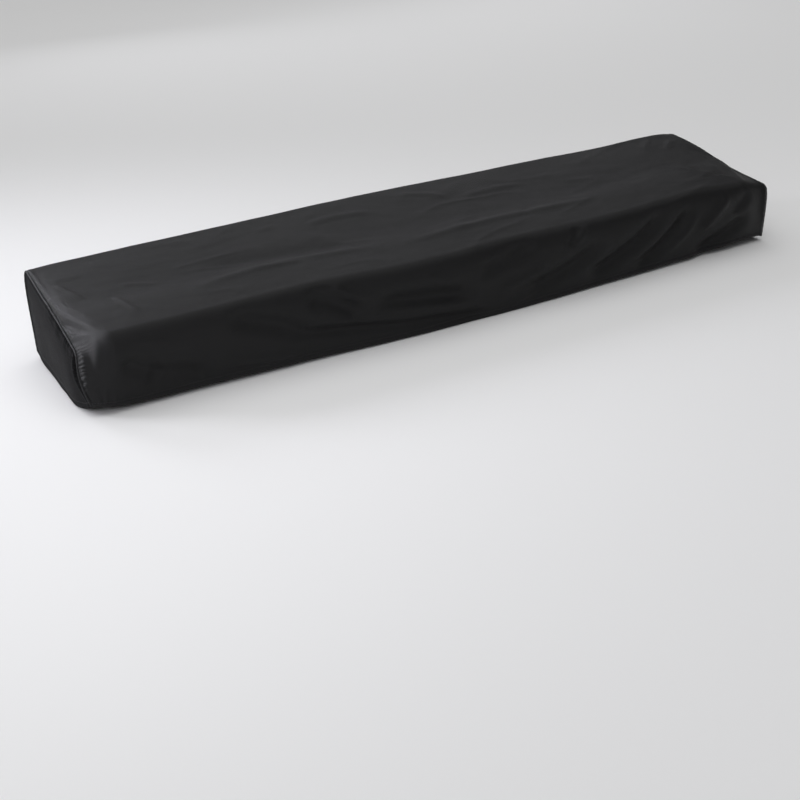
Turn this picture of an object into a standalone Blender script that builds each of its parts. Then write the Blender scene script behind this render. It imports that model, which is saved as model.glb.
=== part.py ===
"""Fitted dust cover for a piano keyboard, in the shape it takes on its instrument.

One long panel wraps the front, the top and the back. An end panel closes each
side, and a round piping is sewn into the seam between the two. The cover is
hollow and open below, and hangs from the underside of its top.
X runs along the cover, Y from front to back, Z up, all in metres.
"""
import math
from collections import namedtuple

import bmesh
import bpy
from mathutils import Vector

NAME = "keyboard_cover"

# Driving sizes
LENGTH = 1.308          # between the piping of the two ends
DEPTH = 0.270           # front face to back face, at the top
CLOTH = 0.002           # one thickness of the coated cloth
PIPING_RADIUS = 0.0022
SEWN_GAP = 0.0003       # between two pieces that are sewn together
HEM_BAND = 0.010        # height of the turned hem
HEM_SWELL = 0.0008      # how far the turned hem stands proud
EDGE_ROUND = 0.010      # half of the stretch over which the cloth turns an edge

# Lengths of cloth along the wrap, from the front hem to the back hem
FRONT_FACE = 0.126
TOP_FACE = 0.272
BACK_FACE = 0.156
WRAP = FRONT_FACE + TOP_FACE + BACK_FACE

# What the cloth does along the cover. Heights are counted up from the hem
# plane and distances back from the front face. The front edge and the front
# hem stand forward of it by their out, and the back flares out to its hem.
Section = namedtuple("Section", "x edge_out edge_up hem_out hem_up back_up back_flare back_hem_up")
SECTIONS = [
    Section(-0.654, 0.006, 0.1265, -0.001, 0.0060, 0.1500, 0.015, 0.012),
    Section(-0.640, 0.006, 0.1265, 0.004, 0.0045, 0.1510, 0.013, 0.010),
    Section(-0.610, 0.006, 0.1265, 0.005, 0.0025, 0.1520, 0.010, 0.006),
    Section(-0.470, 0.006, 0.1275, 0.006, 0.0010, 0.1530, 0.003, 0.002),
    Section(-0.305, 0.005, 0.1290, 0.009, -0.0010, 0.1550, 0.007, 0.000),
    Section(-0.220, 0.007, 0.1270, 0.012, -0.0030, 0.1560, 0.002, 0.000),
    Section(-0.130, 0.013, 0.1245, 0.015, -0.0045, 0.1575, 0.006, -0.002),
    Section(-0.035, 0.013, 0.1245, 0.017, -0.0055, 0.1575, 0.002, -0.003),
    Section(0.060, 0.009, 0.1265, 0.017, -0.0060, 0.1570, 0.008, -0.003),
    Section(0.165, 0.011, 0.1255, 0.016, -0.0045, 0.1555, 0.003, -0.002),
    Section(0.270, 0.013, 0.1250, 0.013, -0.0035, 0.1545, 0.007, 0.000),
    Section(0.380, 0.008, 0.1265, 0.010, -0.0015, 0.1530, 0.002, 0.000),
    Section(0.495, 0.005, 0.1300, 0.007, 0.0005, 0.1515, 0.008, 0.002),
    Section(0.590, 0.009, 0.1255, 0.005, 0.0025, 0.1530, 0.005, 0.004),
    Section(0.640, 0.006, 0.1250, 0.005, 0.0015, 0.1545, 0.008, 0.006),
    Section(0.654, 0.006, 0.1250, 0.001, 0.0055, 0.1545, 0.009, 0.008),
]

# The top, from the front edge (share 0) to the back edge (share 1): how far it
# stands above the straight line between the two.
TopRow = namedtuple("TopRow", "share above")
TOP_ROWS = [
    TopRow(0.00, 0.0000),
    TopRow(0.28, 0.0000),
    TopRow(0.45, -0.0030),
    TopRow(0.72, -0.0015),
    TopRow(1.00, 0.0000),
]

# The end seams: their height at each distance back
SeamRow = namedtuple("SeamRow", "back left_up right_up")
SEAM_ROWS = [
    SeamRow(-0.005, 0.0690, 0.0970),
    SeamRow(0.040, 0.0835, 0.1020),
    SeamRow(0.065, 0.0910, 0.1055),
    SeamRow(0.089, 0.0995, 0.1095),
    SeamRow(0.118, 0.1095, 0.1185),
    SeamRow(0.150, 0.1180, 0.1270),
    SeamRow(0.182, 0.1265, 0.1345),
    SeamRow(0.219, 0.1370, 0.1410),
    SeamRow(0.256, 0.1475, 0.1460),
    SeamRow(0.270, 0.1500, 0.1480),
]

# The hem of the end panels, from front (share 0) to back (share 1): how far it
# hangs out past the seam, and how far below the line between its two corners
HemRow = namedtuple("HemRow", "share left_out left_sag right_out right_sag")
HEM_ROWS = [
    HemRow(0.00, 0.000, 0.0000, 0.000, 0.0000),
    HemRow(0.06, 0.004, 0.0020, 0.002, 0.0020),
    HemRow(0.20, 0.009, 0.0050, 0.004, 0.0040),
    HemRow(0.40, 0.008, 0.0065, 0.005, 0.0060),
    HemRow(0.65, 0.005, 0.0060, 0.004, 0.0060),
    HemRow(0.88, 0.003, 0.0040, 0.002, 0.0030),
    HemRow(1.00, 0.000, 0.0000, 0.000, 0.0000),
]

# Past the instrument's own ends the cloth is free. It falls in a fan from the
# instrument's front corner to the stretch of end seam in front of fan_back.
# Behind that it slopes down gently. The seam's own front corner lies at
# seam_front, rounded over crease_round, and its lower run swells outwards.
End = namedtuple("End", "side corner_x corner_back fan_back seam_front crease_round swell name")
LEFT = End(-1, 0.613, 0.000, 0.172, 0.040, 0.024, 0.006, "left")
RIGHT = End(1, 0.592, 0.006, 0.165, 0.004, 0.010, 0.000, "right")
SLOPE_START = 0.550     # distance from mid-length where the gentle slope begins
FAN_RISE = 0.6          # how steeply the fan's plane climbs behind its last line

# Puckers of the fan: where each runs into the seam, its half width and height
Pucker = namedtuple("Pucker", "side back width height")
PUCKERS = [
    Pucker(-1, 0.168, 0.014, 0.0030),
    Pucker(-1, 0.135, 0.013, -0.0030),
    Pucker(-1, 0.103, 0.012, 0.0035),
    Pucker(-1, 0.077, 0.010, -0.0035),
    Pucker(-1, 0.055, 0.009, 0.0030),
    Pucker(1, 0.140, 0.012, 0.0015),
    Pucker(1, 0.090, 0.012, -0.0015),
]

# Folds of the long panel, each a stroke from x0, s0 to x1, s1. s is the
# distance along the cloth from the front edge: down the front below zero, over
# the top above zero. Bow is how far the middle of the stroke strays to its
# left. Width is half the fold's breadth, and a negative height is a trough.
Fold = namedtuple("Fold", "x0 s0 x1 s1 bow width height")
FOLDS = [
    Fold(-0.425, -0.030, -0.300, -0.082, 0.000, 0.014, -0.0040),
    Fold(-0.285, -0.032, -0.205, -0.080, 0.000, 0.012, -0.0040),
    Fold(-0.175, -0.060, 0.035, -0.082, 0.000, 0.012, -0.0040),
    Fold(-0.330, -0.092, 0.030, -0.116, 0.000, 0.010, -0.0030),
    Fold(-0.605, -0.052, -0.555, -0.095, 0.000, 0.014, -0.0030),
    Fold(-0.622, -0.004, -0.630, -0.085, 0.000, 0.008, 0.0020),
    Fold(0.240, -0.102, 0.407, -0.018, -0.012, 0.012, -0.0050),
    Fold(0.352, -0.115, 0.470, -0.030, -0.010, 0.012, -0.0050),
    Fold(0.455, -0.092, 0.577, -0.013, -0.015, 0.013, 0.0040),
    Fold(0.500, -0.115, 0.588, -0.012, -0.020, 0.011, -0.0050),
    Fold(-0.460, 0.078, -0.110, 0.078, 0.012, 0.010, 0.0025),
    Fold(-0.110, 0.070, 0.330, 0.074, 0.006, 0.010, 0.0025),
    Fold(-0.430, 0.138, -0.150, 0.108, 0.000, 0.020, -0.0030),
    Fold(-0.205, 0.200, -0.060, 0.194, 0.012, 0.010, 0.0020),
    Fold(-0.005, 0.238, 0.085, 0.190, 0.008, 0.010, 0.0020),
    Fold(-0.566, 0.120, -0.556, 0.036, 0.000, 0.010, 0.0020),
    Fold(0.527, 0.124, 0.590, 0.014, 0.000, 0.010, 0.0025),
]

# How the cloth is divided: where each stretch ends, and how many steps it takes
COLUMN_SPANS = [(-0.600, 8), (-0.520, 6), (0.230, 30), (0.570, 20), (LENGTH / 2, 8)]
ROW_SPANS = [(0.010, 1), (0.108, 8), (0.144, 5), (0.380, 11), (0.416, 4), (WRAP, 4)]
END_STEPS_ALONG, END_STEPS_UP = 16, 9
CLOSER = 1.5            # how much the steps crowd towards the top front corner
REACH = 0.002           # a short way along the cloth, for finding its directions


def along(rows, key, column, at):
    """One column of a table at a place between its rows, on a smooth curve."""
    places = [getattr(row, key) for row in rows]
    values = [getattr(row, column) for row in rows]
    at = min(max(at, places[0]), places[-1])
    last = len(rows) - 1
    i = next(k for k in range(last) if at <= places[k + 1])

    def slope(k):
        before, after = max(k - 1, 0), min(k + 1, last)
        return (values[after] - values[before]) / (places[after] - places[before])

    step = places[i + 1] - places[i]
    t = (at - places[i]) / step
    start = values[i] * (1 + 2 * t) * (1 - t) ** 2 + slope(i) * step * t * (1 - t) ** 2
    end = values[i + 1] * (3 - 2 * t) * t**2 - slope(i + 1) * step * (1 - t) * t**2
    return start + end


def section(column, x):
    return along(SECTIONS, "x", column, x)


def smooth(t):
    """0 below 0, 1 above 1, and an eased rise between."""
    t = min(max(t, 0.0), 1.0)
    return t * t * (3 - 2 * t)


def bump(off, width):
    return math.exp(-((off / width) ** 2))


def end_of(x):
    return LEFT if x < 0 else RIGHT


def past_corner(x):
    """Share of the way from the instrument's corner (0) to the end seam (1)."""
    end = end_of(x)
    return min(max((abs(x) - end.corner_x) / (LENGTH / 2 - end.corner_x), 0.0), 1.0)


def edge_back(x):
    """Where the front edge lies. It draws back to the seam's corner past the instrument."""
    end = end_of(x)
    return -section("edge_out", x) * (1 - past_corner(x)) + end.seam_front * past_corner(x)


def seam_up(end, back):
    return along(SEAM_ROWS, "back", f"{end.name}_up", back)


def instrument_top(x, back):
    """Height of the top where the cloth lies on the instrument."""
    front = -section("edge_out", x)
    share = (back - front) / (DEPTH - front)
    rise = section("back_up", x) - section("edge_up", x)
    return section("edge_up", x) + rise * share + along(TOP_ROWS, "share", "above", share)


def gentle_drop(end, x, back):
    """How far the top has sloped down towards the end seam."""
    ease = smooth((abs(x) - SLOPE_START) / (LENGTH / 2 - SLOPE_START))
    behind = max(back, end.fan_back)
    drop = instrument_top(x, behind) - seam_up(end, behind)
    return ease * drop * min(max(back, 0.0) / end.fan_back, 1.0)


def top_up(x, back):
    """Height of the top above the hem plane."""
    end = end_of(x)
    up = instrument_top(x, back) - gentle_drop(end, x, back)
    into = past_corner(x)
    if into == 0:
        return up
    meets = end.corner_back + (back - end.corner_back) / into
    beyond = max(meets - end.fan_back, 0.0)
    corner_up = section("edge_up", end.side * end.corner_x)
    target = seam_up(end, min(meets, end.fan_back)) + beyond * FAN_RISE
    up = min(up, corner_up + (target - corner_up) * into)
    fade = smooth(into * 1.6) * (1 - smooth((into - 0.85) / 0.15))
    mine = [pucker for pucker in PUCKERS if pucker.side == end.side]
    return up + fade * sum(p.height * bump(meets - p.back, p.width) for p in mine)


def sharp(x, w):
    """(x, back, up) of the cloth at wrap place w, its edges not yet rounded."""
    front = edge_back(x)
    if w < FRONT_FACE:
        down = 1 - w / FRONT_FACE
        hem_back, hem_up = -section("hem_out", x), section("hem_up", x)
        edge_up = top_up(x, front)
        swell = end_of(x).swell * past_corner(x) * math.sin(math.pi * min(down, 1.0))
        back = front + (hem_back - front) * down
        return x + math.copysign(swell, x), back, edge_up + (hem_up - edge_up) * down
    if w < FRONT_FACE + TOP_FACE:
        back = front + (DEPTH - front) * (w - FRONT_FACE) / TOP_FACE
        return x, back, top_up(x, back)
    down = (w - FRONT_FACE - TOP_FACE) / BACK_FACE
    back_up, hem_up = top_up(x, DEPTH), section("back_hem_up", x)
    flare = section("back_flare", x) * down * down
    return x, DEPTH + flare, back_up + (hem_up - back_up) * down


def rounded(x, w):
    """The same with its edges rounded: the mean over a short stretch of the wrap."""
    reach = EDGE_ROUND
    if w < FRONT_FACE + TOP_FACE / 2:
        reach += (end_of(x).crease_round - EDGE_ROUND) * past_corner(x)
    reach = min(reach, max(w, 0.0), max(WRAP - w, 0.0))
    stretch = [sharp(x, w + reach * k / 3) for k in range(-3, 4)]
    return [sum(values) / len(stretch) for values in zip(*stretch)]


# The origin is the underside of the top, at mid-length and mid-depth.
ORIGIN_UP = top_up(0.0, DEPTH / 2) - CLOTH


def base(x, w):
    """Outer face of the cover without its folds, in the cover's own frame."""
    x, back, up = rounded(x, w)
    return Vector((x, back - DEPTH / 2, up - ORIGIN_UP))


def fold_height(x, w):
    """How far the folds and the turned hem lift the cloth at this place."""
    s = w - FRONT_FACE
    lift = HEM_SWELL * (1 - smooth((min(w, WRAP - w) - HEM_BAND / 2) / (HEM_BAND / 2)))
    for fold in FOLDS:
        run_x, run_s = fold.x1 - fold.x0, fold.s1 - fold.s0
        length = math.hypot(run_x, run_s)
        share = ((x - fold.x0) * run_x + (s - fold.s0) * run_s) / length**2
        if 0 < share < 1:
            across = ((s - fold.s0) * run_x - (x - fold.x0) * run_s) / length
            across -= fold.bow * 4 * share * (1 - share)
            fade = smooth(4 * share) * smooth(4 * (1 - share))
            lift += fold.height * fade * bump(across, fold.width)
    return lift


def cloth_point(x, w):
    """Outer face of the long panel, with its folds."""
    here = base(x, w)
    inner = base(x - math.copysign(REACH, x), w)
    along_x = (here - inner) * math.copysign(1, x)
    along_w = base(x, w + REACH) - base(x, w - REACH)
    return here + along_x.cross(along_w).normalized() * fold_height(x, w)


def seam_point(end, w, inset):
    """A point of the end seam, moved into the end panel by inset."""
    x = end.side * LENGTH / 2
    run = base(x, w + REACH) - base(x, w - REACH)
    inwards = Vector((0, run.z, -run.y)).normalized()
    return base(x, w) + inwards * inset


def front_seam(rise):
    return FRONT_FACE * (1 - (1 - rise) ** CLOSER)


def top_seam(share):
    return FRONT_FACE + TOP_FACE * share**CLOSER


def back_seam(rise):
    return WRAP - BACK_FACE * (1 - (1 - rise) ** CLOSER)


def spread(start, spans, share):
    """A share of the whole grid as a place along its uneven stretches."""
    step = share * steps_of(spans)
    for stop, count in spans:
        if step <= count:
            return start + (stop - start) * step / count
        start, step = stop, step - count
    return start


def steps_of(spans):
    return sum(count for _, count in spans)


def cloth_material(name, shade, roughness):
    """Black coated polyester."""
    material = bpy.data.materials.new(name)
    material.use_nodes = True
    shader = material.node_tree.nodes["Principled BSDF"]
    shader.inputs["Base Color"].default_value = (shade, shade, shade * 1.06, 1.0)
    shader.inputs["Roughness"].default_value = roughness
    shader.inputs["Metallic"].default_value = 0.0
    return material


def add_object(collection, name, data, material):
    obj = bpy.data.objects.new(name, data)
    data.materials.append(material)
    collection.objects.link(obj)
    return obj


def cloth_grid(collection, name, steps, point, outward, material):
    """A grid of cloth whose points follow a function, given its thickness inwards."""
    mesh = bpy.data.meshes.new(name)
    bm = bmesh.new()
    bmesh.ops.create_grid(bm, x_segments=steps[0], y_segments=steps[1], size=0.5)
    for vert in bm.verts:
        vert.co = point(vert.co.x + 0.5, vert.co.y + 0.5)
    bmesh.ops.recalc_face_normals(bm, faces=bm.faces[:])
    bm.faces.ensure_lookup_table()
    if bm.faces[len(bm.faces) // 2].normal.dot(outward) < 0:
        bmesh.ops.reverse_faces(bm, faces=bm.faces[:])
    bm.to_mesh(mesh)
    bm.free()
    mesh.shade_smooth()
    obj = add_object(collection, name, mesh, material)
    wall = obj.modifiers.new("cloth thickness", "SOLIDIFY")
    wall.thickness = CLOTH
    wall.offset = -1
    return obj


def make_long_panel(collection, material):
    """The panel that wraps front, top and back, sewn to the piping at both ends."""
    sewn_share = 1 - (PIPING_RADIUS + SEWN_GAP) / (LENGTH / 2)

    def point(column, row):
        x = spread(-LENGTH / 2, COLUMN_SPANS, column) * sewn_share
        return cloth_point(x, spread(0.0, ROW_SPANS, row))

    steps = (steps_of(COLUMN_SPANS), steps_of(ROW_SPANS))
    return cloth_grid(collection, "long_panel", steps, point, Vector((0, 0, 1)), material)


def make_end_panel(collection, end, material):
    """A patch stretched between the front, top and back seams, with its free hem below."""
    inset = CLOTH / 2 + PIPING_RADIUS + SEWN_GAP
    low_front, high_front = (seam_point(end, front_seam(rise), inset) for rise in (0, 1))
    low_back, high_back = (seam_point(end, back_seam(rise), inset) for rise in (0, 1))

    def point(share, rise):
        front = seam_point(end, front_seam(rise), inset)
        back = seam_point(end, back_seam(rise), inset)
        top = seam_point(end, top_seam(share), inset)
        hem = low_front.lerp(low_back, share)
        square = hem.lerp(high_front.lerp(high_back, share), rise)
        patch = hem.lerp(top, rise) + front.lerp(back, share) - square
        out = along(HEM_ROWS, "share", f"{end.name}_out", share)
        sag = along(HEM_ROWS, "share", f"{end.name}_sag", share)
        patch.x += end.side * (CLOTH / 2 + out * (1 - rise**2))
        patch.z -= sag * (1 - rise) ** 2
        return patch

    outward = Vector((end.side, 0, 0))
    steps = (END_STEPS_ALONG, END_STEPS_UP)
    return cloth_grid(collection, f"end_panel_{end.name}", steps, point, outward, material)


def make_piping(collection, end, material):
    """A round cord cased in cloth, along the whole end seam."""
    rises = [i / END_STEPS_UP for i in range(END_STEPS_UP)]
    places = [front_seam(rise) for rise in rises]
    places += [top_seam(i / END_STEPS_ALONG) for i in range(END_STEPS_ALONG + 1)]
    places += [back_seam(rise) for rise in reversed(rises)]
    curve = bpy.data.curves.new(f"piping_{end.name}", "CURVE")
    curve.dimensions = "3D"
    curve.bevel_depth = PIPING_RADIUS
    curve.bevel_resolution = 2
    curve.use_fill_caps = True
    line = curve.splines.new("POLY")
    line.points.add(len(places) - 1)
    for knot, w in zip(line.points, places):
        knot.co = (*seam_point(end, w, CLOTH / 2), 1.0)
    return add_object(collection, curve.name, curve, material)


def main():
    for obj in list(bpy.data.objects):
        bpy.data.objects.remove(obj)
    cover = bpy.data.collections.new(NAME)
    bpy.context.scene.collection.children.link(cover)
    make_long_panel(cover, cloth_material("cover_cloth", 0.022, 0.55))
    end_cloth = cloth_material("end_cloth", 0.020, 0.55)
    piping_cloth = cloth_material("piping_cloth", 0.018, 0.60)
    for end in (LEFT, RIGHT):
        make_end_panel(cover, end, end_cloth)
        make_piping(cover, end, piping_cloth)


main()
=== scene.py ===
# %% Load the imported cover
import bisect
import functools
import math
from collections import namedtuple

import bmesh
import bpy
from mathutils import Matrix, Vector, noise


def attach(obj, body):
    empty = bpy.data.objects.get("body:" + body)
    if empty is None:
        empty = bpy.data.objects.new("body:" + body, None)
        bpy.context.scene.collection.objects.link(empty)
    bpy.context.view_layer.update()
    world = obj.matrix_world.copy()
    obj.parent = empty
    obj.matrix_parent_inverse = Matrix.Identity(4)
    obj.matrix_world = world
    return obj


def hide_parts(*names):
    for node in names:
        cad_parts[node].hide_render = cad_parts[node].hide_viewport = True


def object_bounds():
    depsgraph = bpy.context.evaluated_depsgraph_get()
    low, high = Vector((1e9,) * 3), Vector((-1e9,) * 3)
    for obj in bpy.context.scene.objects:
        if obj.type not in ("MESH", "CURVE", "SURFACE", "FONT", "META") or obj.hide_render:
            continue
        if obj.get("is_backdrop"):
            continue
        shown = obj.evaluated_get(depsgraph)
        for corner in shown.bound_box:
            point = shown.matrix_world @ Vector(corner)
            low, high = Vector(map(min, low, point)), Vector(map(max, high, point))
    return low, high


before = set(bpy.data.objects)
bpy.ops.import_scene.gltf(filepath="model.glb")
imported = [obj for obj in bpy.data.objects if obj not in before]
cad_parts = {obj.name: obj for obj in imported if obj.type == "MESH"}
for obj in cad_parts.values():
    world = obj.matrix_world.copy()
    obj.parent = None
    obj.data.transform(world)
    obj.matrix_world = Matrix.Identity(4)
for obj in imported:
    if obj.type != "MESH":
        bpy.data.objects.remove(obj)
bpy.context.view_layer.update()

# %% [markdown]
# ## A fitted dust cover
# The real object is a hood of black coated polyester. One long panel makes its front, its
# top and its back, an end panel closes each side, and a thin piping is sewn into the seam
# between them. The form under the cover holds its middle up, but is shorter than the
# cover, so past its corners the cloth falls free into a small fan of puckers. The packed
# solids have that shape with plain folds. This script dresses them. It makes each piece
# again from the same measures on a much finer grid, adds the small folds, the gathered
# seams, the turned hem and its stitches, and gives the cloth its look.

print("nodes:", ", ".join(sorted(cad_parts)))

# %% [markdown]
# ## The camera
# The photograph looks down on the cover from the left. Its camera was found by fitting the
# straight edges in it to their real sizes, and it is written here as a place, three angles
# and a focal length. It comes first, so that each later piece can be looked at through it.

# %% Camera
CAMERA_PLACE = (-1.111, -1.904, 0.6596)
CAMERA_YAW, CAMERA_PITCH, CAMERA_ROLL = (math.radians(a) for a in (-28.6485, -24.4279, -3.5104))
FOCAL_PIXELS, PICTURE_PIXELS = 1331.19, 800
SENSOR_MM = 36


def make_camera():
    camera = bpy.data.objects.new("camera", bpy.data.cameras.new("camera"))
    bpy.context.scene.collection.objects.link(camera)
    camera.data.sensor_width = SENSOR_MM
    camera.data.lens = SENSOR_MM * (FOCAL_PIXELS / PICTURE_PIXELS)
    yaw = Matrix.Rotation(CAMERA_YAW, 4, "Z")
    pitch = Matrix.Rotation(math.pi / 2 + CAMERA_PITCH, 4, "X")
    roll = Matrix.Rotation(CAMERA_ROLL, 4, "Z")
    camera.matrix_world = Matrix.Translation(CAMERA_PLACE) @ yaw @ pitch @ roll
    bpy.context.scene.camera = camera
    return camera


camera = make_camera()
print("lens:", round(camera.data.lens, 1), "mm")

# %% [markdown]
# ## How the cloth is measured
# A sewing pattern has two directions, and so does everything below: x runs along the
# cover, and w runs around it, from the front hem up the front, over the top and down the
# back. Each place of the long panel is a pair (x, w) that lies somewhere in space. Heights
# are counted up from the plane of the hem, and depths back from the front of the form
# under the cloth. The tables hold what the cloth does at a few places, in metres, and a
# smooth curve is drawn through each column. A mesh could be sculpted by hand instead, but
# then no size in it could be checked or changed. The two ends hang differently: past the
# left corner the front loses its bulge (slack), the top dips late (ease, a power) and the
# seam is fully gathered, and at the right end each of these is gentler.

# %% Sizes of the cloth
LENGTH = 1.308
DEPTH = 0.270
CLOTH = 0.0012
PIPING_RADIUS = 0.0020
FRONT_ROUND, REAR_ROUND = 0.009, 0.008
FRONT_FACE, TOP_FACE, BACK_FACE = 0.126, 0.272, 0.156
WRAP = FRONT_FACE + TOP_FACE + BACK_FACE

Section = namedtuple("Section", "x edge_out edge_up hem_out hem_up back_up back_flare back_hem_up")
SECTIONS = [Section(*row) for row in (
    (-0.654, 0.004, 0.1168, -0.001, 0.01, 0.1515, 0.015, 0.007),
    (-0.64, 0.004, 0.1168, 0.004, 0.0085, 0.1524, 0.013, 0.006),
    (-0.61, 0.005, 0.1173, 0.005, 0.0035, 0.153, 0.01, 0.004),
    (-0.47, 0.005, 0.1183, 0.006, 0.001, 0.1548, 0.003, 0.002),
    (-0.305, 0.004, 0.1198, 0.009, -0.001, 0.1566, 0.007, 0.0),
    (-0.22, 0.006, 0.1178, 0.012, -0.003, 0.1576, 0.002, 0.0),
    (-0.13, 0.012, 0.1153, 0.015, -0.0045, 0.159, 0.006, -0.002),
    (-0.035, 0.012, 0.1153, 0.017, -0.0055, 0.159, 0.002, -0.003),
    (0.06, 0.008, 0.1173, 0.017, -0.006, 0.1585, 0.008, -0.003),
    (0.165, 0.01, 0.1163, 0.016, -0.0045, 0.1572, 0.003, -0.002),
    (0.27, 0.012, 0.1158, 0.013, -0.0035, 0.1564, 0.007, 0.0),
    (0.38, 0.007, 0.1173, 0.01, -0.0015, 0.1552, 0.002, 0.0),
    (0.495, 0.004, 0.1208, 0.007, 0.0005, 0.1542, 0.008, 0.002),
    (0.59, 0.008, 0.1163, 0.005, 0.005, 0.156, 0.005, 0.004),
    (0.64, 0.006, 0.1158, 0.002, 0.0045, 0.1575, 0.008, 0.006),
    (0.654, 0.005, 0.1158, -0.001, 0.0005, 0.1575, 0.009, 0.008),
)]

TopRow = namedtuple("TopRow", "share above")
TOP_ROWS = [TopRow(*row) for row in (
    (0.0, 0.0),
    (0.28, 0.0),
    (0.45, -0.003),
    (0.72, -0.0015),
    (1.0, 0.0),
)]

SeamRow = namedtuple("SeamRow", "back left_up right_up")
SEAM_ROWS = [SeamRow(*row) for row in (
    (-0.005, 0.069, 0.1),
    (0.04, 0.0835, 0.106),
    (0.065, 0.091, 0.1095),
    (0.089, 0.0995, 0.113),
    (0.118, 0.1095, 0.1205),
    (0.15, 0.118, 0.129),
    (0.182, 0.1268, 0.137),
    (0.219, 0.1375, 0.1438),
    (0.256, 0.1485, 0.149),
    (0.27, 0.1515, 0.151),
)]

HemRow = namedtuple("HemRow", "share left_out left_sag right_out right_sag")
HEM_ROWS = [HemRow(*row) for row in (
    (0.0, 0.0, 0.0, 0.0, 0.0),
    (0.06, 0.004, 0.0065, 0.002, 0.002),
    (0.2, 0.009, 0.013, 0.004, 0.004),
    (0.4, 0.008, 0.0115, 0.005, 0.006),
    (0.65, 0.005, 0.0105, 0.004, 0.006),
    (0.88, 0.003, 0.007, 0.002, 0.003),
    (1.0, 0.0, 0.0, 0.0, 0.0),
)]

End = namedtuple(
    "End", "name side corner_x fan_back seam_front crease_round swell slack ease gathered flat_area"
)
LEFT = End("left", -1, 0.613, 0.172, 0.040, 0.013, 0.006, 1.0, 7.0, 1.0, 0.031)
RIGHT = End("right", 1, 0.592, 0.165, -0.003, 0.010, 0.000, 0.6, 2.6, 0.5, 0.034)
print("wrap:", round(1000 * WRAP), "mm of cloth from hem to hem")

# %% [markdown]
# ## A smooth curve through a table
# A cubic curve passes through each value of a column, and leaves it in the direction of
# its two neighbours. That is how a loose cloth behaves between the places that hold it.

# %% Helpers for curves


class Curve:
    """A smooth curve through one column of a table."""

    def __init__(self, rows, key, column):
        self.places = [getattr(row, key) for row in rows]
        self.values = [getattr(row, column) for row in rows]
        last = len(rows) - 1
        spans = [(max(k - 1, 0), min(k + 1, last)) for k in range(last + 1)]
        self.slopes = [
            (self.values[b] - self.values[a]) / (self.places[b] - self.places[a]) for a, b in spans
        ]

    def __call__(self, at):
        at = min(max(at, self.places[0]), self.places[-1])
        i = min(bisect.bisect_right(self.places, at), len(self.places) - 1) - 1
        step = self.places[i + 1] - self.places[i]
        t = (at - self.places[i]) / step
        leaving = self.values[i] * (1 + 2 * t) + self.slopes[i] * step * t
        arriving = self.values[i + 1] * (3 - 2 * t) - self.slopes[i + 1] * step * (1 - t)
        return leaving * (1 - t) ** 2 + arriving * t**2


BUMP_ENDS = 4  # a bump is nothing beyond this many of its widths
SECTION = {column: Curve(SECTIONS, "x", column) for column in Section._fields[1:]}
TOP_ABOVE = Curve(TOP_ROWS, "share", "above")
SEAM_UP = {side: Curve(SEAM_ROWS, "back", f"{side}_up") for side in ("left", "right")}


@functools.lru_cache(maxsize=None)
def section(column, x):
    return SECTION[column](x)


def smooth(t):
    """Zero below 0, one above 1, and a soft step between."""
    t = min(max(t, 0.0), 1.0)
    return t * t * (3 - 2 * t)


def bump(off, width):
    return math.exp(-((off / width) ** 2)) if abs(off) < BUMP_ENDS * width else 0.0


print("front edge at mid-length is", round(1000 * section("edge_up", 0.0)), "mm above the hem")

# %% [markdown]
# ## The fan of puckers
# Where the form under the cloth ends, its front corner is the last thing that holds it.
# From there straight ribs run out to the end seam like a fan. Ridge follows groove, so
# that seen along the seam they are a saw-tooth with steep sides that face the light. The
# table holds where each rib starts, where it meets the seam, and how far it stands above a
# plain seam there. Between two ribs the cloth is taut, so a straight line joins them. The
# ribs that start at the corner leave it along the front edge and bend back towards the
# seam. The last rib, with a bend below one, only follows the top down to the seam, and
# behind it the cloth settles on the plain top.

# %% Fan of puckers at each end
Rib = namedtuple("Rib", "side corner_x seam_back lift bend")
RIBS = [Rib(*row) for row in (
    (-1, 0.613, 0.04, 0.0, 1.5),
    (-1, 0.613, 0.064, -0.0032, 1.5),
    (-1, 0.613, 0.078, 0.0048, 1.5),
    (-1, 0.613, 0.118, -0.0072, 1.5),
    (-1, 0.613, 0.143, 0.0064, 1.5),
    (-1, 0.606, 0.162, -0.0002, 0.85),
    (1, 0.592, -0.003, 0.0, 1.5),
    (1, 0.592, 0.06, 0.0008, 1.5),
    (1, 0.592, 0.098, -0.0008, 1.4),
    (1, 0.592, 0.126, 0.001, 1.3),
    (1, 0.584, 0.172, -0.0004, 0.5),
)]
EDGE_BEND = 1.5  # above one, the front edge turns towards the seam late
EASE_BEFORE = 0.012  # the top starts to dip this far inside the corner
FAN_FROM = 0.575  # nearer to mid-length there are no ribs
RIB_RISE, RIB_FADE_FROM = 3, 0.88
SETTLE = 0.030  # behind the last rib


def end_of(x):
    return LEFT if x < 0 else RIGHT


def share_past(start, x):
    """Share of the way from start (0) to the end seam (1)."""
    return min(max((abs(x) - start) / (LENGTH / 2 - start), 0.0), 1.0)


@functools.lru_cache(maxsize=None)
def past_corner(x):
    return share_past(end_of(x).corner_x, x)


@functools.lru_cache(maxsize=None)
def edge_back(x):
    past = past_corner(x) ** EDGE_BEND
    return -section("edge_out", x) * (1 - past) + end_of(x).seam_front * past


def resting_top(x, back):
    """The top where something lies under it."""
    front = -section("edge_out", x)
    share = (back - front) / (DEPTH - front)
    rise = section("back_up", x) - section("edge_up", x)
    return section("edge_up", x) + rise * share + TOP_ABOVE(share)


def gentle_top(x, back):
    """The top as it slopes down to the seam, were there no corner under it."""
    end = end_of(x)
    ease = share_past(end.corner_x - EASE_BEFORE, x) ** end.ease
    if ease == 0:
        return resting_top(x, back)
    behind = max(back, end.fan_back)
    drop = resting_top(x, behind) - SEAM_UP[end.name](behind)
    return resting_top(x, back) - ease * drop * min(max(back, 0.0) / end.fan_back, 1.0)


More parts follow.
